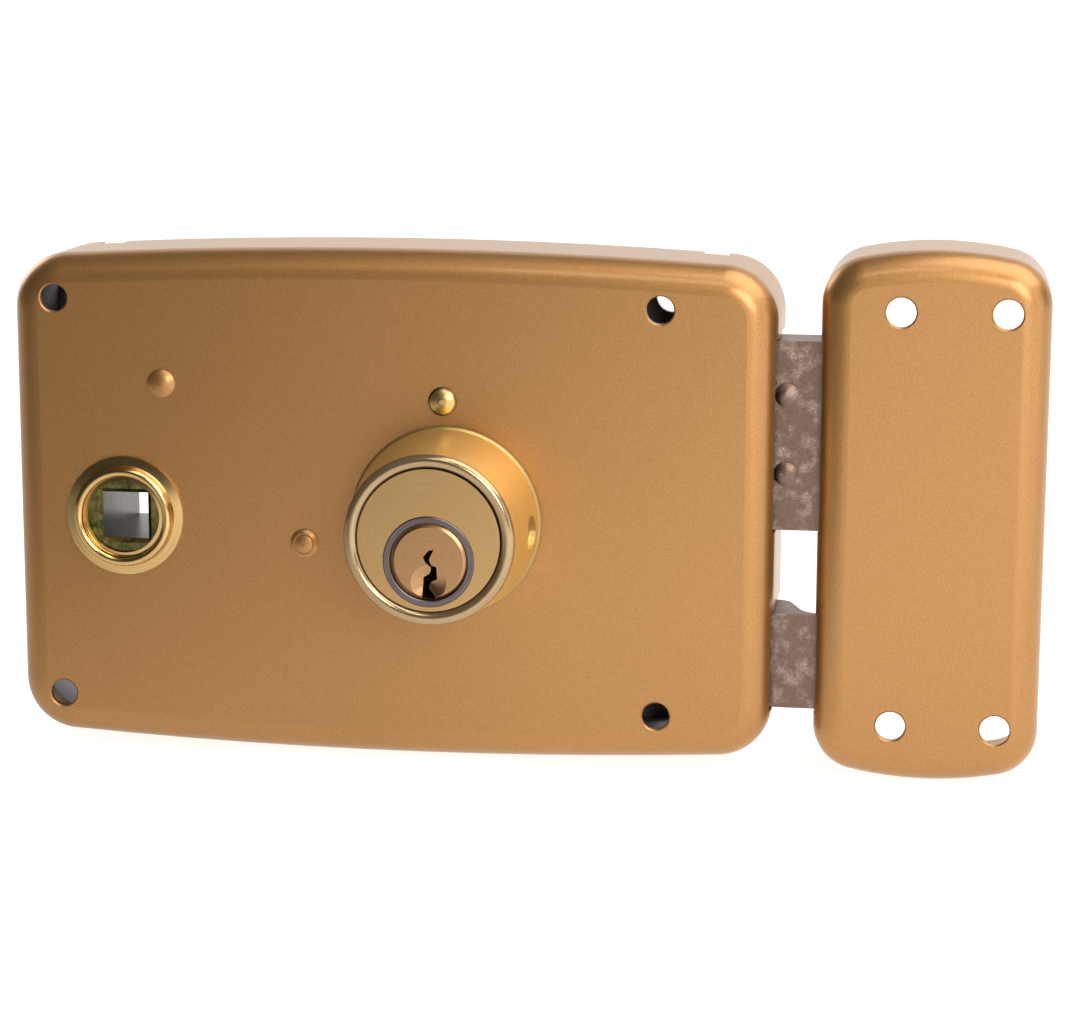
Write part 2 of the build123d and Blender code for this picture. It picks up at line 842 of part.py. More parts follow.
def make_deadbolt_core():
    tail_left = guide_post_x - guide_slot_half - deadbolt_tail_margin
    tail_foot = pitch_line - addendum
    teeth = math.ceil((deadbolt_throw + 2 * pitch_radius) / tooth_pitch)
    gap_at_pitch = (tooth_pitch + backlash) / 2
    slope = math.tan(math.radians(pressure_angle))
    half_mouth = gap_at_pitch / 2 + addendum * slope
    half_root = gap_at_pitch / 2 - dedendum * slope
    with BuildPart() as core:
        with BuildSketch(level(core_bottom)) as face:
            with BuildLine():
                Polyline(
                    (tail_left, tail_foot),
                    (deadbolt_head, tail_foot),
                    (deadbolt_head, deadbolt_bottom),
                    (deadbolt_tip, deadbolt_bottom),
                    (deadbolt_tip, deadbolt_top),
                    (deadbolt_head, deadbolt_top),
                    (deadbolt_head, deadbolt_tail_top),
                    (tail_left, deadbolt_tail_top),
                    close=True,
                )
            make_face()
            chamfer(face.vertices().group_by(Axis.X)[-1], deadbolt_tip_chamfer)
            with Locations(*rivet_places()):
                Circle(bolt_rivet_radius, mode=Mode.SUBTRACT)
            slot_middle = guide_post_x + deadbolt_throw / 2
            with Locations((slot_middle, guide_post_z)):
                SlotCenterToCenter(deadbolt_throw, 2 * guide_slot_half, mode=Mode.SUBTRACT)
            for i in range(-1, teeth):
                middle = plug_x + i * tooth_pitch
                with BuildLine():
                    Polyline(
                        (middle - half_mouth, tail_foot),
                        (middle - half_root, pitch_line + dedendum),
                        (middle + half_root, pitch_line + dedendum),
                        (middle + half_mouth, tail_foot),
                        close=True,
                    )
                make_face(mode=Mode.SUBTRACT)
        extrude(amount=deadbolt_plate)
    save(core, "deadbolt_core_plate")


def make_deadbolt_rivets():
    front = core_top + deadbolt_plate
    rim = front + bolt_rivet_rim
    dome = (bolt_rivet_head_radius**2 + bolt_rivet_dome**2) / (2 * bolt_rivet_dome)
    with BuildPart() as rivet:
        with BuildSketch(turning_plane(0, 0)):
            with BuildLine():
                Polyline(
                    (0, rim + bolt_rivet_dome),
                    (0, deadbolt_back),
                    (bolt_rivet_radius, deadbolt_back),
                    (bolt_rivet_radius, front),
                    (bolt_rivet_head_radius, front),
                    (bolt_rivet_head_radius, rim),
                )
                RadiusArc((bolt_rivet_head_radius, rim), (0, rim + bolt_rivet_dome), -dome)
            make_face()
        revolve(axis=turning_axis(0, 0))
    with BuildPart() as rivets:
        with Locations(*[(x, 0, z) for x, z in rivet_places()]):
            add(rivet.part)
    save(rivets, "deadbolt_rivets")


def make_latch_bolt():
    ramp_left = case_right + latch_ramp_start
    ramp_right = case_right + latch_ramp_end
    with BuildPart() as bolt:
        with BuildSketch(Plane.XY.offset(latch_bottom)) as section:
            with BuildLine():
                Polyline(
                    (latch_full_height_left, -latch_front),
                    (latch_tip_x, -latch_front),
                    (latch_tip_x, -(latch_front - latch_tip)),
                    (ramp_right, -(latch_front - latch_lip)),
                    (ramp_left, -latch_back),
                    (latch_full_height_left, -latch_back),
                    close=True,
                )
            make_face()
            corner = section.vertices().sort_by_distance((ramp_left, -latch_back))[0]
            fillet(corner, latch_shoulder_radius)
            heel = section.vertices().sort_by_distance((ramp_right, latch_lip - latch_front))[0]
            fillet(heel, latch_heel_radius)
        extrude(amount=latch_top - latch_bottom)
        with BuildSketch(Plane.XY.offset(latch_shank_bottom)):
            with Locations((latch_shank_left, -latch_front)):
                Rectangle(
                    latch_shank_length, latch_front - latch_back, align=(Align.MIN, Align.MIN)
                )
        extrude(amount=latch_top - latch_shank_bottom)
        with BuildSketch(level(tail_bottom_height)):
            with Locations((latch_shank_left, tail_bottom)):
                Rectangle(tail_tenon, tail_top - tail_bottom, align=(Align.MIN, Align.MIN))
        extrude(amount=tail_thickness, mode=Mode.SUBTRACT)
        with BuildSketch(level(latch_back)):
            with Locations(*latch_rivet_places()):
                Circle(latch_rivet_radius)
        extrude(amount=latch_front - latch_back, mode=Mode.SUBTRACT)
        with BuildSketch(Plane.YZ.offset(latch_shank_left)):
            with Locations((-rod_height, rod_z)):
                Circle(rod_radius)
        extrude(amount=rod_tenon, mode=Mode.SUBTRACT)
    save(bolt, "latch_bolt")


def latch_rivet_places():
    x = latch_shank_left + latch_rivet_inset
    middle = (tail_top + tail_bottom) / 2
    return [(x, middle - latch_rivet_spread / 2), (x, middle + latch_rivet_spread / 2)]


def make_latch_tail():
    left = follower_tip_x - follower_tip_radius - tail_end_margin
    right = latch_shank_left + tail_tenon
    notches = [
        (follower_tip_x, follower_z - follower_arm, follower_tip_radius),
        (lever_tip_x, lever_post_z - lever_arm, lever_tip_radius),
    ]
    with BuildPart() as tail:
        with BuildSketch(level(tail_bottom_height)):
            with Locations((left, tail_bottom)):
                Rectangle(right - left, tail_top - tail_bottom, align=(Align.MIN, Align.MIN))
            for x, lowest_tip, radius in notches:
                floor = lowest_tip - radius - arm_notch_floor
                with Locations((x, floor)):
                    Rectangle(
                        2 * (radius + arm_notch_gap),
                        tail_top - floor + overrun,
                        align=(Align.CENTER, Align.MIN),
                        mode=Mode.SUBTRACT,
                    )
            with Locations(*latch_rivet_places()):
                Circle(latch_rivet_radius, mode=Mode.SUBTRACT)
        extrude(amount=tail_thickness)
    save(tail, "latch_tail")


def make_latch_rivets():
    with BuildPart() as rivets:
        with BuildSketch(level(latch_back)):
            with Locations(*latch_rivet_places()):
                Circle(latch_rivet_radius)
        extrude(amount=latch_front - latch_back)
    save(rivets, "latch_rivets")


def make_latch_rod_and_spring():
    rod_left = guide_x - rod_overhang
    with BuildPart() as rod:
        with BuildSketch(Plane.YZ.offset(rod_left)):
            with Locations((-rod_height, rod_z)):
                Circle(rod_radius)
        extrude(amount=latch_shank_left + rod_tenon - rod_left)
    save(rod, "latch_spring_rod")
    with BuildPart() as spring:
        with BuildSketch(Plane.YZ.offset(guide_x + guide_sheet)):
            with Locations((-rod_height, rod_z)):
                Circle(latch_spring_radius)
                Circle(latch_spring_radius - latch_spring_wall, mode=Mode.SUBTRACT)
        extrude(amount=latch_shank_left - guide_x - guide_sheet)
    save(spring, "latch_spring")


def make_latch_guide():
    bottom = tail_bottom - guide_side_margin
    top = tail_top + guide_side_margin
    peak = rod_height + rod_radius + guide_top_margin
    with BuildPart() as guide:
        with BuildSketch(Plane.YZ.offset(guide_x)):
            with Locations((-peak, bottom)):
                Rectangle(peak - plate_thickness, top - bottom, align=(Align.MIN, Align.MIN))
            with Locations((-tail_top_height - guide_gap, tail_bottom - guide_gap)):
                Rectangle(
                    tail_thickness + 2 * guide_gap,
                    tail_top - tail_bottom + 2 * guide_gap,
                    align=(Align.MIN, Align.MIN),
                    mode=Mode.SUBTRACT,
                )
            with Locations((-rod_height, rod_z)):
                Circle(rod_radius + rod_gap, mode=Mode.SUBTRACT)
        extrude(amount=guide_sheet)
        with BuildSketch(level(plate_thickness)):
            with Locations((guide_x, bottom)):
                Rectangle(guide_foot, top - bottom, align=(Align.MIN, Align.MIN))
        extrude(amount=guide_sheet)
    save(guide, "latch_guide")


def swinging_arm(x, z, angle, reach, shank, tip):
    # a straight arm with a round tip, in the plane of the door
    with BuildSketch() as arm:
        with Locations(Location((x, z), angle)):
            Rectangle(reach, shank, align=(Align.MIN, Align.CENTER))
        tip_x, tip_z = polar(reach, angle)
        with Locations((x + tip_x, z + tip_z)):
            Circle(tip)
    return arm.sketch


def make_follower():
    arm_angle = -90 + follower_swing
    body_points = [
        (0, 0),
        (journal_radius, 0),
        (journal_radius, plate_thickness + follower_end_gap),
        (follower_radius, plate_thickness + follower_end_gap),
        (follower_radius, case_inside - follower_end_gap),
        (journal_radius, case_inside - follower_end_gap),
        (journal_radius, case_depth + follower_face_stand_out),
        (0, case_depth + follower_face_stand_out),
    ]
    face = case_depth + follower_face_stand_out
    with BuildPart() as follower:
        add(turned(follower_x, follower_z, body_points).part)
        with BuildSketch(level(tail_bottom_height)):
            add(
                swinging_arm(
                    follower_x, follower_z, arm_angle,
                    follower_arm, follower_shank, follower_tip_radius,
                )
            )
        extrude(amount=tail_thickness)
        with BuildSketch(level(0)):
            with Locations((follower_x, follower_z)):
                Rectangle(spindle_side, spindle_side)
        extrude(amount=face, mode=Mode.SUBTRACT)
        with BuildSketch(level(face - spindle_lead_depth)):
            with Locations((follower_x, follower_z)):
                Rectangle(spindle_side, spindle_side)
        with BuildSketch(level(face)):
            with Locations((follower_x, follower_z)):
                Rectangle(spindle_lead_side, spindle_lead_side)
        loft(mode=Mode.SUBTRACT)
    save(follower, "follower")


def make_follower_rosette():
    neck_bore = journal_radius + journal_gap
    neck = neck_bore + rosette_wall
    with BuildPart() as rosette:
        with BuildSketch(turning_plane(follower_x, follower_z)):
            with BuildLine():
                Polyline(
                    (rosette_bead_inner, case_depth + rosette_bead_foot),
                    (rosette_mouth_radius, case_depth + rosette_lip_top),
                    (rosette_mouth_radius, case_depth + rosette_lip_bottom),
                    (neck_bore, case_depth + rosette_lip_bottom),
                    (neck_bore, case_inside),
                    (neck, case_inside),
                    (neck, case_depth),
                    (rosette_radius, case_depth),
                    (rosette_radius, case_depth + rosette_rim),
                    (rosette_dish_radius, case_depth + rosette_dish_height),
                    (rosette_bead_outer, case_depth + rosette_bead_foot),
                )
                ThreePointArc(
                    (rosette_bead_outer, case_depth + rosette_bead_foot),
                    (
                        (rosette_bead_outer + rosette_bead_inner) / 2,
                        case_depth + rosette_bead_height,
                    ),
                    (rosette_bead_inner, case_depth + rosette_bead_foot),
                )
            make_face()
        revolve(axis=turning_axis(follower_x, follower_z))
    save(rosette, "follower_rosette")


def make_latch_lever():
    arm_angle = -90 + lever_swing
    with BuildPart() as lever:
        with BuildSketch(level(tail_bottom_height)):
            with Locations((lever_post_x, lever_post_z)):
                Circle(lever_boss_radius)
            add(
                swinging_arm(
                    lever_post_x, lever_post_z, arm_angle,
                    lever_arm, lever_shank, lever_tip_radius,
                )
            )
            straight = lever_finger_length - lever_finger_width / 2
            add(
                swinging_arm(
                    lever_post_x, lever_post_z, lever_finger_tilt,
                    straight, lever_finger_width, lever_finger_width / 2,
                )
            )
            with Locations((lever_post_x, lever_post_z)):
                Circle(post_radius + lever_bore_gap, mode=Mode.SUBTRACT)
        extrude(amount=tail_thickness)
    save(lever, "latch_lever")


def make_follower_spring():
    inner = post_radius + hairpin_gap
    outer = inner + 2 * hairpin_wire_radius
    middle = inner + hairpin_wire_radius
    half_turns = hairpin_coil_height / 2
    centre_height = (plate_thickness + case_inside) / 2
    legs = [
        (hairpin_leg_angle, hairpin_leg, 1),
        (hairpin_anchor_angle, hairpin_anchor_leg, -1),
    ]
    with BuildPart() as spring:
        with BuildSketch(level(centre_height - half_turns)):
            with Locations((spring_post_x, spring_post_z)):
                Circle(outer)
                Circle(inner, mode=Mode.SUBTRACT)
        extrude(amount=hairpin_coil_height)
        for angle, length, rise in legs:
            along = polar(1, angle)
            start_x, start_z = polar(middle, angle - 90 * rise)
            height = centre_height + rise * (half_turns - hairpin_wire_radius)
            leg = Plane(
                origin=(spring_post_x + start_x, -height, spring_post_z + start_z),
                x_dir=(0, 1, 0),
                z_dir=(along[0], 0, along[1]),
            )
            with BuildSketch(leg):
                Circle(hairpin_wire_radius)
            extrude(amount=length)
    save(spring, "follower_spring")


def make_strike_cover():
    sizes = (strike_left, strike_right, strike_crown, strike_bow, strike_corner_radius)
    outer = bowed_outline(*sizes, 0)
    inner = bowed_outline(*sizes, case_sheet)
    cavity = rounded_block(
        inner, strike_centre_z, case_inside, case_edge_radius - case_sheet
    )
    with BuildPart() as cover:
        add(rounded_block(outer, strike_centre_z, case_depth, case_edge_radius).part)
        add(cavity.part, mode=Mode.SUBTRACT)
        with BuildSketch(level(case_depth)):
            with Locations((strike_holes_x, strike_centre_z)):
                with GridLocations(strike_screws_x, strike_screws_z, 2, 2):
                    Circle(strike_screw_hole_radius)
        extrude(amount=-2 * case_sheet, mode=Mode.SUBTRACT)
        screw_rims = cover.edges().filter_by(GeomType.CIRCLE).group_by(Axis.Y)[0]
        chamfer(screw_rims, hole_lip_chamfer)
        with BuildSketch(level(0)):
            for bottom, top in [(deadbolt_bottom, deadbolt_top), (latch_bottom, latch_top)]:
                with Locations((strike_left, (bottom + top) / 2)):
                    Rectangle(
                        2 * (case_sheet + overrun), top - bottom + 2 * bolt_window_gap
                    )
        extrude(amount=case_depth - bolt_window_setback, mode=Mode.SUBTRACT)
    save(cover, "strike_cover")


make_case_cover()
make_base_plate()
make_plate_screws()
for post_name, (post_x, post_z, post_head) in posts.items():
    make_post(post_name, post_x, post_z, post_head)
make_cylinder_body()
make_cylinder_collar()
make_cylinder_clip()
make_plug_ring()
make_plug()
make_plug_clip()
make_pins()
make_drive_pinion()
make_latch_cam()
make_cam_clip()
make_deadbolt_plates()
make_deadbolt_core()
make_deadbolt_rivets()
make_latch_bolt()
make_latch_tail()
make_latch_rivets()
make_latch_rod_and_spring()
make_latch_guide()
make_follower()
make_follower_rosette()
make_latch_lever()
make_follower_spring()
make_strike_cover()

key_turn = math.degrees(deadbolt_throw / pitch_radius)
print(f"deadbolt throw {deadbolt_throw} for a key turn of {key_turn:.2f} degrees")
print(f"latch throw {latch_throw}: follower {2 * follower_swing:.3f}, lever {2 * lever_swing:.3f}")
print(f"rack: {pitch_radius / 1000:.6f} metres a radian")
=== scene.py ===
import math

import bpy
import numpy as np
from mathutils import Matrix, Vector


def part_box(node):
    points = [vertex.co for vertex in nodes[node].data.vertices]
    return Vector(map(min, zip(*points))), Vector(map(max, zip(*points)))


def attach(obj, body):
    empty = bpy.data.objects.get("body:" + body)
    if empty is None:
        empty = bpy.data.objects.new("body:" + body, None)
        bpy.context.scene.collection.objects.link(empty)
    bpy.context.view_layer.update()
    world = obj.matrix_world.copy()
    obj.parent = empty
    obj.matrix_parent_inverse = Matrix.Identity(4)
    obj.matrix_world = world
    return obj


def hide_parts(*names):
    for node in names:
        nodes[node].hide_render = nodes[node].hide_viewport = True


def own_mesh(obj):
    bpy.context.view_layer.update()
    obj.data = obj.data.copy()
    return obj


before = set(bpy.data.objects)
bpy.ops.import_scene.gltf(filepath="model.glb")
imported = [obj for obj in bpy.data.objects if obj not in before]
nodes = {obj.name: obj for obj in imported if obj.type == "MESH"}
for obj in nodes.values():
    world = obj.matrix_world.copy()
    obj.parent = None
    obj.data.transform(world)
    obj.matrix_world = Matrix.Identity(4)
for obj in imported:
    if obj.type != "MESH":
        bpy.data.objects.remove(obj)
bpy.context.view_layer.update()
print("frame loaded:", len(nodes), "nodes")

# where the axes of the turned pieces stand; they all run along Y
plugAxis = (0.0162, 0.0, -0.0056)
cylinderAxis = (0.0162, 0.0, -0.0020)
followerAxis = (-0.0405, 0.0, -0.0027)
guidePostAxis = (0.0156, 0.0, 0.0187)


# camera where the photographer stood, fitted to the screw holes
camera = {
    "place": (0.1026, -0.5061, 0.0932), "turn": (79.091, -0.201, 8.405),  # metres, degrees
    "lens": 98.25, "sensor": 36.0, "nearest": 0.01,
}

lens = bpy.data.cameras.new("camera")
lens.lens = camera["lens"]
lens.sensor_width = camera["sensor"]
lens.clip_start = camera["nearest"]
cameraObject = bpy.data.objects.new("camera", lens)
cameraObject.location = camera["place"]
cameraObject.rotation_euler = [math.radians(a) for a in camera["turn"]]
bpy.context.scene.collection.objects.link(cameraObject)
bpy.context.scene.camera = cameraObject
print("camera placed, lens", camera["lens"], "mm")


# small helpers for materials

def newMaterial(name, **values):
    # the values are constants on the shader's own sockets
    material = bpy.data.materials.new(name)
    material.use_nodes = True
    shader = material.node_tree.nodes["Principled BSDF"]
    for socket, value in values.items():
        shader.inputs[socket.replace("_", " ")].default_value = value
    return material, material.node_tree, shader


def feed(tree, source, socket):
    # a source is another node's output or a plain value
    if isinstance(source, bpy.types.NodeSocket):
        tree.links.new(source, socket)
    else:
        socket.default_value = source


def dress(tree, shader, **sources):
    for socket, source in sources.items():
        feed(tree, source, shader.inputs[socket.replace("_", " ")])


def addNode(tree, kind, place, **settings):
    # a setting is the value of the socket with that name, or else a property of the node
    node = tree.nodes.new(kind)
    node.location = place
    for name, value in settings.items():
        if name in node.inputs:
            node.inputs[name].default_value = value
        else:
            setattr(node, name, value)
    return node


def mathOf(tree, operation, first, second, place):
    node = addNode(tree, "ShaderNodeMath", place, operation=operation)
    feed(tree, first, node.inputs[0])
    if second is not None:
        feed(tree, second, node.inputs[1])
    return node.outputs[0]


def splitAxes(tree, vector, place):
    split = addNode(tree, "ShaderNodeSeparateXYZ", place)
    tree.links.new(vector, split.inputs[0])
    return split.outputs


def distanceOn(tree, vector, axes, place):
    # distance from the pattern's middle, read only on the axes that have a 1
    flat = addNode(tree, "ShaderNodeVectorMath", place, operation="MULTIPLY")
    tree.links.new(vector, flat.inputs[0])
    flat.inputs[1].default_value = axes
    length = addNode(tree, "ShaderNodeVectorMath", (place[0] + 170, place[1]), operation="LENGTH")
    tree.links.new(flat.outputs[0], length.inputs[0])
    return length.outputs["Value"]


def centredCoordinates(tree, centre, place=(-1400, 0)):
    # object coordinates moved so that the centre is the middle of the pattern
    coordinates = addNode(tree, "ShaderNodeTexCoord", place)
    mapping = addNode(tree, "ShaderNodeMapping", (place[0] + 200, place[1]), vector_type="POINT")
    mapping.inputs["Location"].default_value = [-c for c in centre]
    tree.links.new(coordinates.outputs["Object"], mapping.inputs["Vector"])
    return mapping.outputs["Vector"]


def noiseOn(tree, where, place, **values):
    noise = addNode(tree, "ShaderNodeTexNoise", place, **values)
    tree.links.new(where, noise.inputs["Vector"])
    return noise.outputs["Fac"]


def mapRange(tree, value, before, after, place):
    # straight line from the range `before` to the range `after`, held level past both ends
    node = addNode(tree, "ShaderNodeMapRange", place, clamp=True)
    for name, number in zip(("From Min", "From Max", "To Min", "To Max"), (*before, *after)):
        node.inputs[name].default_value = number
    tree.links.new(value, node.inputs["Value"])
    return node.outputs["Result"]


def mixOf(tree, kind, factor, first, second, place):
    mix = addNode(tree, "ShaderNodeMix", place, data_type=kind)
    for name, source in (("Factor", factor), ("A", first), ("B", second)):
        feed(tree, source, mix.inputs[name])
    return mix.outputs["Result"]


def bumpFrom(tree, height, relief, place, before=None):
    bump = addNode(tree, "ShaderNodeBump", place)
    bump.inputs["Strength"].default_value, bump.inputs["Distance"].default_value = relief
    tree.links.new(height, bump.inputs["Height"])
    if before is not None:
        tree.links.new(before, bump.inputs["Normal"])
    return bump.outputs["Normal"]


whole = (0.0, 1.0)  # the range of a mask or a noise
noiseSpan = (0.35, 0.65)  # where a noise keeps most of its values


def rampBetween(tree, factor, look, place):
    ramp = addNode(tree, "ShaderNodeValToRGB", place)
    stops = ramp.color_ramp.elements
    for stop, position, colour in zip(stops, noiseSpan, (look["dark"], look["light"])):
        stop.position = position
        stop.color = (*colour, 1)
    tree.links.new(factor, ramp.inputs["Fac"])
    return ramp.outputs["Color"]


# marks of the lathe: pitch is how fine they are, drift how much they change on the way round
lathe = {"pitch": 9000.0, "drift": 0.00016, "depth": 0.00004, "detail": 3.0, "rough": 0.65}


def turningMarks():
    # fine lines round an axis along Y: noise read on radius, height and a little of the angle
    group = bpy.data.node_groups.new("turningMarks", "ShaderNodeTree")
    group.interface.new_socket("Vector", in_out="INPUT", socket_type="NodeSocketVector")
    group.interface.new_socket("Pitch", in_out="INPUT", socket_type="NodeSocketFloat")
    group.interface.new_socket("Lines", in_out="OUTPUT", socket_type="NodeSocketFloat")
    entry = addNode(group, "NodeGroupInput", (-900, 0))
    axes = splitAxes(group, entry.outputs["Vector"], (-700, 0))
    radius = distanceOn(group, entry.outputs["Vector"], (1.0, 0.0, 1.0), (-520, 120))
    angle = mathOf(group, "ARCTAN2", axes["Z"], axes["X"], (-350, -60))
    slow = mathOf(group, "MULTIPLY", angle, lathe["drift"], (-190, -60))
    place = addNode(group, "ShaderNodeCombineXYZ", (-20, 60))
    for name, source in (("X", radius), ("Y", axes["Y"]), ("Z", slow)):
        group.links.new(source, place.inputs[name])
    lines = addNode(
        group, "ShaderNodeTexNoise", (160, 60), Detail=lathe["detail"], Roughness=lathe["rough"]
    )
    group.links.new(place.outputs[0], lines.inputs["Vector"])
    group.links.new(entry.outputs["Pitch"], lines.inputs["Scale"])
    leave = addNode(group, "NodeGroupOutput", (360, 60))
    group.links.new(lines.outputs["Fac"], leave.inputs["Lines"])
    return group


marksGroup = turningMarks()


def marksOn(tree, where, pitch):
    marks = addNode(tree, "ShaderNodeGroup", (-950, 0), node_tree=marksGroup)
    marks.inputs["Pitch"].default_value = pitch
    tree.links.new(where, marks.inputs["Vector"])
    return marks.outputs["Lines"]


# metallic paint: gold flakes under a clear coat with a slight orange peel
# (a relief is its strength and its depth in metres)
paint = {
    "dark": (0.348, 0.165, 0.051), "light": (0.462, 0.243, 0.085), "rough": (0.34, 0.46),
    "metal": 0.85, "coat": 0.32, "coatRough": 0.1, "coatIor": 1.45,
    "flakeScale": 6500.0, "flakeDetail": 2.0, "flakeRelief": (0.10, 0.00005),
    "peelScale": 750.0, "peelDetail": 1.5, "peelRelief": (0.10, 0.00010),
}


def metallicPaint(name):
    material, tree, shader = newMaterial(
        name, Metallic=paint["metal"], Coat_Weight=paint["coat"],
        Coat_Roughness=paint["coatRough"], Coat_IOR=paint["coatIor"]
    )
    where = centredCoordinates(tree, (0, 0, 0))
    flakes = noiseOn(
        tree, where, (-900, 200), Scale=paint["flakeScale"], Detail=paint["flakeDetail"]
    )
    peel = noiseOn(tree, where, (-900, -200), Scale=paint["peelScale"], Detail=paint["peelDetail"])
    grain = bumpFrom(tree, flakes, paint["flakeRelief"], (-600, -300))
    dress(
        tree, shader,
        Base_Color=rampBetween(tree, flakes, paint, (-600, 250)),
        Roughness=mapRange(tree, flakes, whole, paint["rough"], (-600, 0)),
        Normal=bumpFrom(tree, peel, paint["peelRelief"], (-350, -250), grain),
    )
    return material


# brass and steel from the lathe; strength is how strongly the marks stand out
faceBrass = {
    "axis": cylinderAxis, "dark": (0.43, 0.264, 0.108), "light": (0.486, 0.312, 0.137),
    "rough": (0.26, 0.34), "strength": 0.06,
}
plugBrass = {
    "axis": plugAxis, "dark": (0.35, 0.195, 0.089), "light": (0.425, 0.246, 0.116),
    "rough": (0.24, 0.34), "strength": 0.08,
}
rosetteBrass = {
    "axis": followerAxis, "dark": (0.55, 0.36, 0.14), "light": (0.69, 0.47, 0.20),
    "rough": (0.14, 0.24), "strength": 0.05,
}
ringSteel = {
    "axis": plugAxis, "dark": (0.105, 0.085, 0.085), "light": (0.20, 0.165, 0.165),
    "rough": (0.25, 0.4), "strength": 0.25,
}


def turnedMetal(name, look):
    # lathe marks round the piece's axis, in colour, gloss and relief
    material, tree, shader = newMaterial(name, Metallic=1.0)
    marks = marksOn(tree, centredCoordinates(tree, look["axis"]), lathe["pitch"])
    dress(
        tree, shader,
        Base_Color=rampBetween(tree, marks, look, (-600, 250)),
        Roughness=mapRange(tree, marks, whole, look["rough"], (-600, 0)),
        Normal=bumpFrom(tree, marks, (look["strength"], lathe["depth"]), (-350, -200)),
    )
    return material


# the collar round the cylinder, from the lip at the case to the bead at its front
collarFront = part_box("cylinder_collar")[0].y
coneLook = {
    "dark": (0.72, 0.53, 0.19), "light": (0.84, 0.63, 0.26), "rough": (0.40, 0.48),
    # the dull colour is painted shade, laid on the lip at the case and in the spanner hole
    "metal": 0.95, "paintedShade": (0.40, 0.28, 0.11), "pitch": 7000.0, "strength": 0.05,
    "lipFrom": -0.0240,  # the lip lies behind this height
    "hole": (0.0, -0.0285, -0.0019), "holeRadius": 0.00243, "holeSide": 0.012,  # spanner hole
}
# the bead's darker colour is painted shade: the same brass as the cone, given a shaded copy of its
# colour
beadLook = {
    "dark": (0.34, 0.236, 0.125), "light": (0.43, 0.303, 0.168), "rough": (0.15, 0.22),
    "metal": 0.80, "depth": 0.0011, "blend": 0.0003,
}


def spunCollar(name, cone, bead):
    # satin yellow cone with painted shade, a darker colour, on its lip and in the spanner hole; a
    # polished bead in front whose darker, paler colour is painted shade on the same brass
    material, tree, shader = newMaterial(name)
    where = centredCoordinates(tree, cylinderAxis)
    marks = marksOn(tree, where, cone["pitch"])
    axes = splitAxes(tree, where, (-950, -300))
    foot = collarFront + bead["depth"]
    onBead = mapRange(tree, axes["Y"], (foot, foot - bead["blend"]), whole, (-750, -300))

    onLip = mathOf(tree, "GREATER_THAN", axes["Y"], cone["lipFrom"], (-750, -500))
    fromHole = centredCoordinates(tree, cone["hole"], (-1400, -700))
    away = distanceOn(tree, fromHole, (0.0, 1.0, 1.0), (-950, -700))
    within = mathOf(tree, "LESS_THAN", away, cone["holeRadius"], (-600, -700))
    onRight = mathOf(tree, "GREATER_THAN", axes["X"], cone["holeSide"], (-600, -850))
    inHole = mathOf(tree, "MULTIPLY", within, onRight, (-430, -750))
    # painted shade: the lip and the spanner hole take the darker colour
    inPaintedShade = mathOf(tree, "MAXIMUM", onLip, inHole, (-300, -650))

    coneColour = rampBetween(tree, marks, cone, (-700, 350))
    shadedCone = mixOf(tree, "RGBA", inPaintedShade, coneColour, (*cone["paintedShade"], 1), (-400, 500))
    beadColour = rampBetween(tree, marks, bead, (-700, 100))
    coneRough = mapRange(tree, marks, whole, cone["rough"], (-450, 250))
    beadRough = mapRange(tree, marks, whole, bead["rough"], (-450, 0))
    dress(
        tree, shader,
        Metallic=mapRange(tree, onBead, whole, (cone["metal"], bead["metal"]), (-200, 500)),
        Base_Color=mixOf(tree, "RGBA", onBead, shadedCone, beadColour, (-200, 200)),
        Roughness=mixOf(tree, "FLOAT", onBead, coneRough, beadRough, (-200, -100)),
        Normal=bumpFrom(tree, marks, (cone["strength"], lathe["depth"]), (-200, -400)),
    )
    return material


guideHead = {
    "axis": guidePostAxis, "radius": 0.00245, "rough": 0.34,
    "grainScale": 3000.0, "grainDetail": 3.0, "relief": (0.12, 0.00006),
    "rings": [  # share of the radius, colour
        # the two outer rings, from 0.90 of the radius out, are painted shade in the gap round the
        # head
        (0.00, (0.66, 0.46, 0.20)), (0.17, (0.62, 0.42, 0.18)), (0.24, (0.32, 0.20, 0.08)),
        (0.32, (0.55, 0.37, 0.15)), (0.82, (0.60, 0.41, 0.16)), (0.90, (0.24, 0.14, 0.05)),
        (1.00, (0.10, 0.05, 0.02)),
    ],
}


def postHead(name, post):
    # brass head: a darker ring round its nib, and painted shade in the gap where its edge meets
    # the paint
    material, tree, shader = newMaterial(name, Metallic=1.0, Roughness=post["rough"])
    where = centredCoordinates(tree, post["axis"])
    radius = distanceOn(tree, where, (1.0, 0.0, 1.0), (-950, 0))
    share = mapRange(tree, radius, (0.0, post["radius"]), whole, (-600, 0))
    rings = addNode(tree, "ShaderNodeValToRGB", (-420, 100))
    stops = rings.color_ramp.elements
    while len(stops) < len(post["rings"]):
        stops.new(0.5)
    for stop, (position, colour) in zip(stops, post["rings"]):
        stop.position = position
        stop.color = (*colour, 1)
    tree.links.new(share, rings.inputs["Fac"])
    grain = noiseOn(
        tree, where, (-780, -250), Scale=post["grainScale"], Detail=post["grainDetail"]
    )
    dress(
        tree, shader,
        Base_Color=rings.outputs["Color"],
        Normal=bumpFrom(tree, grain, post["relief"], (-420, -250)),
    )
    return material


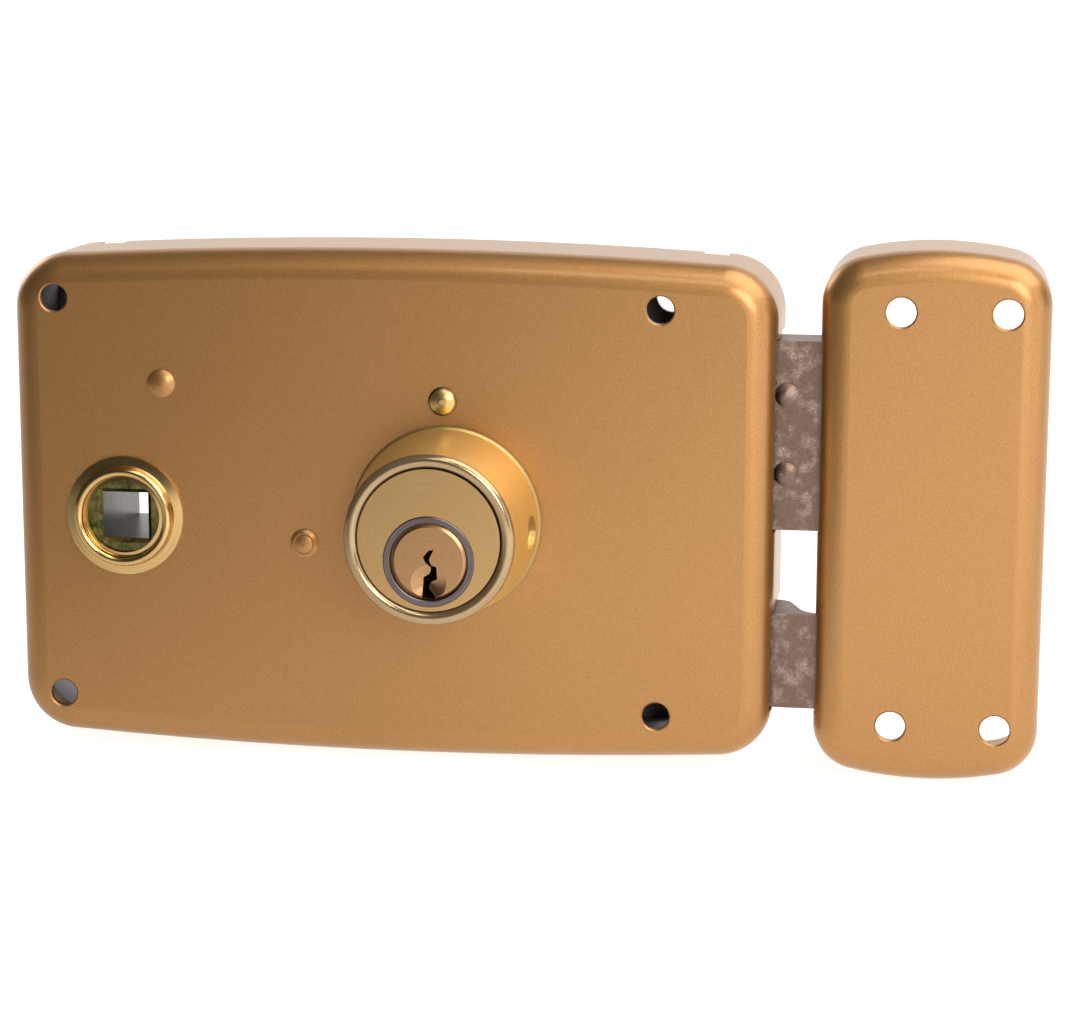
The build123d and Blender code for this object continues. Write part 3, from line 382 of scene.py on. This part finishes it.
# plain metals of the inner pieces: cloudy patches and a fine grain
patches = {
    "scale": 120.0, "detail": 4.0, "rough": 0.6,
    "grainScale": 2500.0, "grainDetail": 3.0, "grainRough": 0.7, "relief": (0.2, 0.00008),
}
zincLook = {
    "dark": (0.40, 0.375, 0.395), "light": (0.47, 0.445, 0.465), "rough": (0.46, 0.58),
}
springLook = {"dark": (0.22, 0.22, 0.23), "light": (0.38, 0.38, 0.39), "rough": (0.25, 0.4)}
innerLook = {"dark": (0.55, 0.33, 0.10), "light": (0.74, 0.48, 0.18), "rough": (0.2, 0.35)}


def patchyMetal(name, look):
    material, tree, shader = newMaterial(name, Metallic=1.0)
    where = centredCoordinates(tree, (0, 0, 0))
    clouds = noiseOn(
        tree, where, (-900, 200),
        Scale=patches["scale"], Detail=patches["detail"], Roughness=patches["rough"]
    )
    grain = noiseOn(
        tree, where, (-900, -100),
        Scale=patches["grainScale"], Detail=patches["grainDetail"], Roughness=patches["grainRough"]
    )
    dress(
        tree, shader,
        Base_Color=rampBetween(tree, clouds, look, (-600, 250)),
        Roughness=mapRange(tree, clouds, whole, look["rough"], (-600, 0)),
        Normal=bumpFrom(tree, grain, patches["relief"], (-350, -200)),
    )
    return material


chromate = {
    "green": {"dark": (0.035, 0.075, 0.014), "light": (0.21, 0.26, 0.065)},
    "brown": {"dark": (0.09, 0.045, 0.022), "light": (0.33, 0.23, 0.12)},
    "steel": (0.105, 0.087, 0.079), "rough": (0.22, 0.42), "relief": (0.3, 0.0001),
    "blotchScale": 620.0, "blotchDetail": 5.0, "blotchRough": 0.7,
    "driftScale": 210.0, "driftDetail": 2.0,
    "holeHalf": 0.00408,  # half the square hole's side and a hair more, so its walls fall within
}


def chromatedHub(name):
    # yellow chromate in blotches of green and brown; bare grey steel inside the square hole
    material, tree, shader = newMaterial(name, Metallic=1.0)
    where = centredCoordinates(tree, followerAxis)
    blotches = noiseOn(
        tree, where, (-950, 300), Scale=chromate["blotchScale"],
        Detail=chromate["blotchDetail"], Roughness=chromate["blotchRough"]
    )
    drift = noiseOn(
        tree, where, (-950, 60), Scale=chromate["driftScale"], Detail=chromate["driftDetail"]
    )
    green = rampBetween(tree, blotches, chromate["green"], (-700, 350))
    brown = rampBetween(tree, blotches, chromate["brown"], (-700, 100))
    plated = mixOf(tree, "RGBA", drift, green, brown, (-430, 250))
    axes = splitAxes(tree, where, (-950, -200))
    across = mathOf(tree, "ABSOLUTE", axes["X"], None, (-750, -150))
    upwards = mathOf(tree, "ABSOLUTE", axes["Z"], None, (-750, -300))
    furthest = mathOf(tree, "MAXIMUM", across, upwards, (-580, -220))
    inHole = mathOf(tree, "LESS_THAN", furthest, chromate["holeHalf"], (-410, -220))
    dress(
        tree, shader,
        Base_Color=mixOf(tree, "RGBA", inHole, plated, (*chromate["steel"], 1), (-200, 150)),
        Roughness=mapRange(tree, blotches, whole, chromate["rough"], (-200, -50)),
        Normal=bumpFrom(tree, blotches, chromate["relief"], (-200, -300)),
    )
    return material


boltLook = {
    # the sparkle colour is painted glint: lighter specks laid into the colour of the rough patches
    "dark": (0.156, 0.102, 0.077), "light": (0.188, 0.125, 0.096), "paintedGlint": (0.42, 0.33, 0.28),
    "rough": (0.40, 0.45), "stretch": (0.6, 1.0, 1.0), "lineScale": 3200.0, "lineDetail": 3.0,
    "cloudScale": 480.0, "cloudDetail": 4.0, "patch": (0.47, 0.75),
    "gritScale": 5200.0, "gritDetail": 4.0, "gritRough": 0.8, "gritContrast": (-2.9, 4.2),
    "lineRelief": (0.08, 0.00004), "gritRelief": (0.5, 0.00012),
}


def boltMetal(name, steel):
    # ground steel: fine grinding lines along X, duller clouds, and rough patches with real bumps
    # and roughness and painted glints, lighter specks in the colour
    material, tree, shader = newMaterial(name, Metallic=1.0)
    where = centredCoordinates(tree, (0, 0, 0))
    stretch = addNode(tree, "ShaderNodeMapping", (-1150, 350), vector_type="POINT")
    stretch.inputs["Scale"].default_value = steel["stretch"]
    tree.links.new(where, stretch.inputs["Vector"])
    lines = noiseOn(
        tree, stretch.outputs["Vector"], (-950, 350),
        Scale=steel["lineScale"], Detail=steel["lineDetail"]
    )
    clouds = noiseOn(
        tree, where, (-950, 100), Scale=steel["cloudScale"], Detail=steel["cloudDetail"]
    )
    grit = noiseOn(
        tree, where, (-950, -150),
        Scale=steel["gritScale"], Detail=steel["gritDetail"], Roughness=steel["gritRough"]
    )
    patch = mapRange(tree, clouds, steel["patch"], whole, (-700, 100))
    specks = mapRange(tree, grit, whole, steel["gritContrast"], (-700, -150))
    # painted glint: where the rough patches and the grit's peaks meet, the colour turns lighter
    paintedGlint = mathOf(tree, "MULTIPLY", patch, specks, (-500, -50))
    plain = rampBetween(tree, lines, steel, (-700, 400))
    height = mathOf(tree, "MULTIPLY", patch, grit, (-500, -250))
    fine = bumpFrom(tree, lines, steel["lineRelief"], (-300, -200))
    dress(
        tree, shader,
        Base_Color=mixOf(tree, "RGBA", paintedGlint, plain, (*steel["paintedGlint"], 1), (-300, 300)),
        Roughness=mapRange(tree, patch, whole, steel["rough"], (-300, 50)),
        Normal=bumpFrom(tree, height, steel["gritRelief"], (-100, -250), fine),
    )
    return material


paintOnSteel = metallicPaint("metallicPaint")
brassOnCollar = spunCollar("brassOnCollar", coneLook, beadLook)
brassOnFace = turnedMetal("brassOnFace", faceBrass)
brassOnPlug = turnedMetal("brassOnPlug", plugBrass)
brassOnRosette = turnedMetal("brassOnRosette", rosetteBrass)
steelOnRing = turnedMetal("steelOnRing", ringSteel)
brassOnPost = postHead("brassOnPost", guideHead)
boltSteel = boltMetal("boltSteel", boltLook)
zincPlate = patchyMetal("zincPlate", zincLook)
springSteel = patchyMetal("springSteel", springLook)
innerBrass = patchyMetal("innerBrass", innerLook)
hubFinish = chromatedHub("hubFinish")
print("materials made, from paint to hub")

finishes = {
    "case_cover": paintOnSteel, "strike_cover": paintOnSteel,
    "spring_post": paintOnSteel, "lever_post": paintOnSteel, "guide_post": brassOnPost,
    "base_plate": zincPlate, "base_plate_screws": zincPlate, "latch_guide": zincPlate,
    "cylinder_body": brassOnFace, "cylinder_collar": brassOnCollar, "cylinder_clip": springSteel,
    "plug": brassOnPlug, "plug_ring": steelOnRing, "plug_clip": springSteel,
    "key_pins": innerBrass, "driver_pins": innerBrass, "pin_caps": innerBrass,
    "pin_springs": springSteel, "latch_spring": springSteel, "follower_spring": springSteel,
    "drive_pinion": boltSteel, "latch_cam": boltSteel, "cam_clip": springSteel,
    "deadbolt_front_plate": boltSteel, "deadbolt_core_plate": boltSteel,
    "deadbolt_back_plate": boltSteel, "deadbolt_rivets": boltSteel,
    "latch_bolt": boltSteel, "latch_rivets": boltSteel, "latch_tail": zincPlate,
    "latch_spring_rod": springSteel, "latch_lever": zincPlate,
    "follower": hubFinish, "follower_rosette": brassOnRosette,
}
for name, material in finishes.items():
    slots = nodes[name].data.materials
    if len(slots) == 0:
        slots.append(material)
    for i in range(len(slots)):
        slots[i] = material
print("finishes given to", len(finishes), "nodes")


# springs: real coils of round wire in place of the plain tubes
coil = {"sides": 10, "stepsPerTurn": 28, "closedTurns": 0.6}


def wireAlong(path, wire, across):
    # tube along a path: at each point a circle of the wire's radius, spanned by the vector that
    # is square to the path and to `across`, and by a third one that is square to both
    sides = coil["sides"]
    path = np.asarray(path, float)
    along = np.gradient(path, axis=0)
    along /= np.linalg.norm(along, axis=1)[:, None]
    out = np.cross(np.broadcast_to(across, along.shape), along)
    out /= np.linalg.norm(out, axis=1)[:, None]
    third = np.cross(along, out)
    turn = np.linspace(0, 2 * np.pi, sides, endpoint=False)[None, :, None]
    circle = np.cos(turn) * out[:, None] + np.sin(turn) * third[:, None]
    ring = path[:, None] + wire * circle
    points = np.concatenate([ring.reshape(-1, 3), path[:1], path[-1:]])
    i = np.arange(len(path) - 1)[:, None] * sides
    j = np.arange(sides)[None, :]
    k = (j + 1) % sides
    walls = np.stack([i + j, i + k, i + sides + k, i + sides + j], -1).reshape(-1, 4)
    first, last = len(points) - 2, len(points) - 1
    end = (len(path) - 1) * sides
    caps = [[first, int(b), int(a)] for a, b in zip(j[0], k[0])]
    caps += [[last, end + int(a), end + int(b)] for a, b in zip(j[0], k[0])]
    return points, walls.tolist() + caps


def coilPath(radius, length, turns):
    # helix along its first coordinate: the end turns lie flat, the ones between share the length
    closed = coil["closedTurns"]
    t = np.linspace(0, 1, int(turns * coil["stepsPerTurn"]))
    ease = np.clip((t * turns - closed) / (turns - 2 * closed), 0, 1)
    angle = 2 * np.pi * turns * t
    return np.stack([length * ease, radius * np.cos(angle), radius * np.sin(angle)], 1)


def newPiece(name, points, faces, material, body):
    mesh = bpy.data.meshes.new(name)
    mesh.from_pydata(np.asarray(points).tolist(), [], faces)
    mesh.shade_smooth()
    mesh.materials.append(material)
    piece = bpy.data.objects.new(name, mesh)
    bpy.context.scene.collection.objects.link(piece)
    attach(piece, body)
    return piece


latchCoil = {"node": "latch_spring", "wire": 0.00035, "turns": 11.5, "travel": 0.012}
low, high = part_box(latchCoil["node"])
middle = (low + high) / 2
coilRadius = (high.z - low.z) / 2 - latchCoil["wire"]
room = high.x - low.x - 2 * latchCoil["wire"]
start = np.array([low.x + latchCoil["wire"], middle.y, middle.z])
path = coilPath(coilRadius, room, latchCoil["turns"]) + start
points, faces = wireAlong(path, latchCoil["wire"], (1, 0, 0))
latchSpring = newPiece("latchSpringCoil", points, faces, springSteel, "case")
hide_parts(latchCoil["node"])
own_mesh(latchSpring)
print("latch spring made:", len(faces), "faces")

# five small springs in a row along Y, each with its coil upright in the place of a tube
pinCoils = {
    "node": "pin_springs", "count": 5, "wire": 0.00016, "turns": 7.5, "radius": 0.00105,
    "tubeRadius": 0.00125,
}
low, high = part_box(pinCoils["node"])
pitch = (high.y - low.y - 2 * pinCoils["tubeRadius"]) / (pinCoils["count"] - 1)
room = high.z - low.z - 2 * pinCoils["wire"]
helix = coilPath(pinCoils["radius"], room, pinCoils["turns"])
start = np.array([(low.x + high.x) / 2, low.y + pinCoils["tubeRadius"], low.z + pinCoils["wire"]])
upright = np.stack([helix[:, 1], helix[:, 2], helix[:, 0]], 1) + start
allPoints, allFaces = [], []
for i in range(pinCoils["count"]):
    points, faces = wireAlong(upright + np.array([0, i * pitch, 0]), pinCoils["wire"], (0, 0, 1))
    offset = i * len(points)
    allPoints.append(points)
    allFaces += [[index + offset for index in face] for face in faces]
pinSprings = newPiece("pinSpringCoils", np.concatenate(allPoints), allFaces, springSteel, "case")
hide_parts(pinCoils["node"])
print("pin springs made:", len(allFaces), "faces")


# floor that sweeps up into a pale backdrop behind the object
studio = {
    "floor": -0.0452, "front": -2.0, "bend": 0.75, "radius": 0.6, "height": 1.8,
    "halfWidth": 2.4, "bendSteps": 24, "grey": 0.30, "rough": 0.8, "glow": (1.0, 0.985, 0.96),
}
# how bright the floor shows in the metal, each as its value on the left and on the right; the
# limits say where one value passes into the next, across X, and along Y near and behind the lock
pools = {
    "across": (-0.15, 0.08), "near": (-0.16, -0.02), "behind": (0.15, 0.60),
    "frontGlow": (0.0, 1.30), "nearGlow": (0.50, 1.00), "behindGlow": (0.92, 0.95),
    "seen": 0.90,
}


def sweepSurface():
    # profile: level floor, quarter circle, upright wall; carried straight along X
    arc = np.linspace(0, np.pi / 2, studio["bendSteps"])
    bendY = studio["bend"] + studio["radius"] * np.sin(arc)
    bendZ = studio["radius"] * (1 - np.cos(arc))
    y = np.concatenate([[studio["front"]], bendY, [studio["bend"] + studio["radius"]]])
    z = np.concatenate([[0], bendZ, [studio["height"]]]) + studio["floor"]
    x = np.array([-studio["halfWidth"], studio["halfWidth"]])
    grid = np.stack([np.repeat(x, len(y)), np.tile(y, 2), np.tile(z, 2)], 1)
    n = len(y)
    first = np.arange(n - 1)
    faces = np.stack([first, first + n, first + n + 1, first + 1], 1)
    mesh = bpy.data.meshes.new("sweep")
    mesh.from_pydata(grid.tolist(), [], faces.tolist())
    mesh.shade_smooth()
    return mesh


def paleFloor():
    # white paper to the eye; in the metal it shows as pools of light, as `pools` gives them
    material, tree, shader = newMaterial("paleFloor", Roughness=studio["rough"])
    axes = splitAxes(tree, addNode(tree, "ShaderNodeTexCoord", (-1300, -200)).outputs["Object"],
                     (-1100, -200))

    def smoothly(axis, limits, values, place):
        # S-shaped rise from one value to the other between the two limits
        ramp = addNode(tree, "ShaderNodeMapRange", place, interpolation_type="SMOOTHSTEP")
        for name, number in zip(("From Min", "From Max", "To Min", "To Max"), (*limits, *values)):
            ramp.inputs[name].default_value = number
        tree.links.new(axes[axis], ramp.inputs["Value"])
        return ramp.outputs["Result"]

    front, near, behind = [
        smoothly("X", pools["across"], pools[row], (-850, 200 - 250 * i))
        for i, row in enumerate(("frontGlow", "nearGlow", "behindGlow"))
    ]
    isNear = smoothly("Y", pools["near"], whole, (-850, -550))
    isBehind = smoothly("Y", pools["behind"], whole, (-850, -800))
    inFront = mixOf(tree, "FLOAT", isNear, front, near, (-600, 0))
    reflected = mixOf(tree, "FLOAT", isBehind, inFront, behind, (-400, -150))
    seen = addNode(tree, "ShaderNodeLightPath", (-600, -500)).outputs["Is Camera Ray"]
    dress(
        tree, shader,
        Base_Color=(*[studio["grey"]] * 3, 1),
        Emission_Color=(*studio["glow"], 1),
        Emission_Strength=mixOf(tree, "FLOAT", seen, reflected, pools["seen"], (-200, -250)),
    )
    return material


sweep = bpy.data.objects.new("sweep", sweepSurface())
bpy.context.scene.collection.objects.link(sweep)
sweep.data.materials.append(paleFloor())
print("floor laid at", studio["floor"])


# soft studio light: square boxes, places and sizes in metres, power in watts
softboxes = [
    {"name": "topBox", "place": (0.50, -0.12, 0.80), "aim": (0.03, 0.0, 0.0),
     "size": 1.0, "power": 12.0, "colour": (1.0, 0.97, 0.95)},
    {"name": "rightBox", "place": (0.95, -0.34, 0.22), "aim": (0.05, 0.0, 0.0),
     "size": 0.5, "power": 1.3, "colour": (1.0, 0.97, 0.95)},
    {"name": "frontBox", "place": (0.46, -0.92, 0.38), "aim": (0.04, 0.0, 0.0),
     "size": 0.5, "power": 6.4, "colour": (1.0, 0.98, 0.94)},
    {"name": "highBox", "place": (0.00, -0.70, 0.76), "aim": (0.03, 0.0, 0.04),
     "size": 0.26, "power": 0.9, "colour": (1.0, 0.97, 0.93)},
    {"name": "leftBox", "place": (-0.75, 0.60, 0.40), "aim": (-0.05, 0.0, 0.0),
     "size": 0.5, "power": 2.0, "colour": (1.0, 0.98, 0.96)},
]
for box in softboxes:
    light = bpy.data.lights.new(box["name"], "AREA")
    light.shape = "SQUARE"
    light.size = box["size"]
    light.energy = box["power"]
    light.color = box["colour"]
    lamp = bpy.data.objects.new(box["name"], light)
    lamp.location = box["place"]
    towards = Vector(box["aim"]) - Vector(box["place"])
    lamp.rotation_euler = towards.to_track_quat("-Z", "Y").to_euler()
    bpy.context.scene.collection.objects.link(lamp)

# the air round it: dim to the metal, white to the eye
studioAir = {"colour": (0.95, 0.94, 0.93), "dim": 0.06, "white": 1.1}

world = bpy.data.worlds.new("studioAir")
world.use_nodes = True
air = world.node_tree.nodes["Background"]
looked = addNode(world.node_tree, "ShaderNodeLightPath", (-600, 0)).outputs["Is Camera Ray"]
airStrength = (studioAir["dim"], studioAir["white"])
dress(
    world.node_tree, air,
    Color=(*studioAir["colour"], 1),
    Strength=mapRange(world.node_tree, looked, whole, airStrength, (-300, 0)),
)
bpy.context.scene.world = world
bpy.context.scene.view_settings.view_transform = "Standard"
print("studio set:", len(softboxes), "soft boxes,", bpy.context.scene.view_settings.view_transform)
